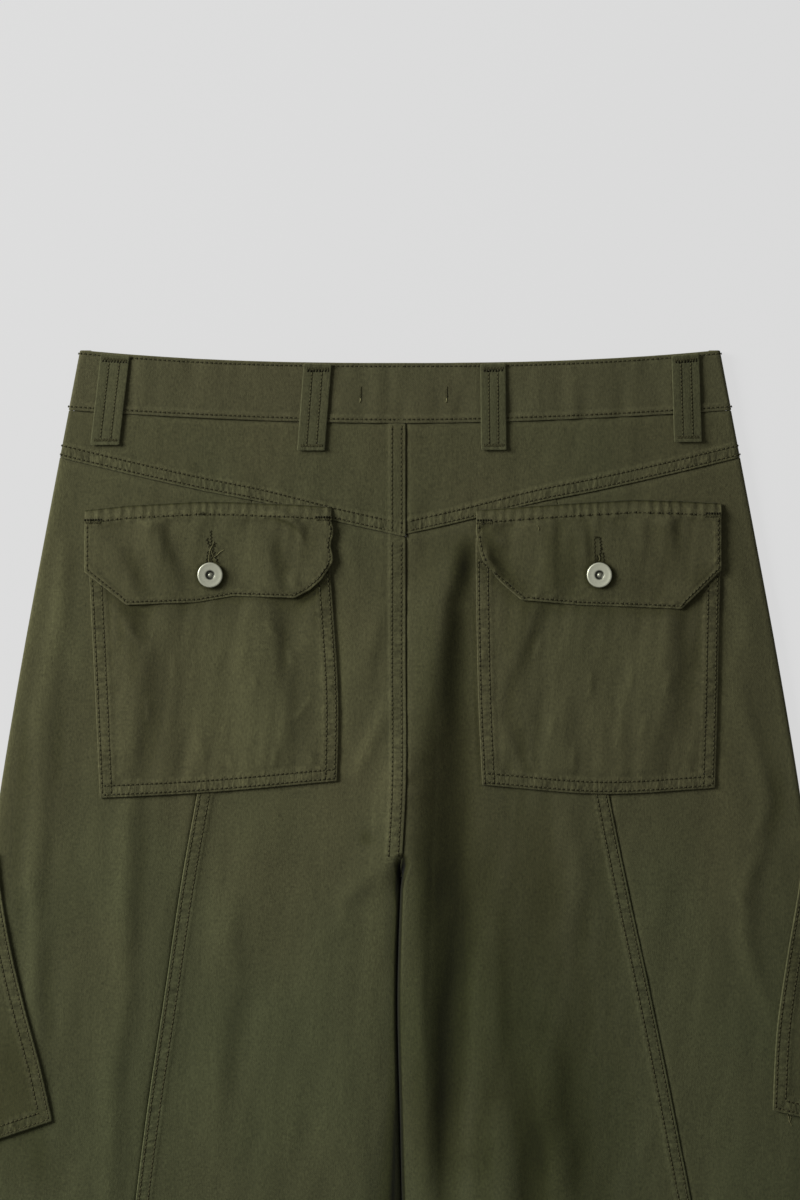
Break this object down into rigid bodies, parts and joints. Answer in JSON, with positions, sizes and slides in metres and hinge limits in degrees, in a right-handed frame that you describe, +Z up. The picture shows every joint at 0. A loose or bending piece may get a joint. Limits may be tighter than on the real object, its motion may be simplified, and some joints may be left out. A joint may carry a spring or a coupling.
{
  "type": "cargo pants laid flat",
  "caption": "Wide cargo pants lying flat with the back up: waistband with belt loops, V-shaped yoke, slanted leg seams, buttoned flap pockets and cargo pockets at the outer leg folds.",
  "frame": {"origin": "centre of the garment's bounding box, on the surface that it lies on", "axes": "+Z up off the back of the garment, +Y along the legs towards the waist, +X across towards the wearer's right side"},
  "size_m": [0.5704, 1.04, 0.0136],
  "materials": {
    "band_cloth": "washed olive cotton twill, two layers, with a topstitched lower edge",
    "twill": "washed olive cotton twill, matte, faintly mottled",
    "pocket_cloth": "washed olive cotton twill with double topstitching",
    "loop_cloth": "folded olive cotton twill with bartacks",
    "button_metal": "pale brushed metal, slightly worn"
  },
  "bodies": {
    "root": {"waistband": "band_cloth", "yoke_left": "twill", "back_center_left": "twill", "back_side_left": "twill", "front_left": "twill", "back_pocket_left": "pocket_cloth", "back_flap_left": "pocket_cloth", "back_button_left": "button_metal", "cargo_pocket_left": "pocket_cloth", "yoke_right": "twill", "back_center_right": "twill", "back_side_right": "twill", "front_right": "twill", "back_pocket_right": "pocket_cloth", "back_flap_right": "pocket_cloth", "back_button_right": "button_metal", "cargo_pocket_right": "pocket_cloth", "belt_loop_back_1": "loop_cloth", "belt_loop_back_2": "loop_cloth", "belt_loop_back_3": "loop_cloth", "belt_loop_back_4": "loop_cloth", "belt_loop_front_left": "loop_cloth", "belt_loop_front_right": "loop_cloth", "waist_button": "button_metal"}
  },
  "joints": []
}
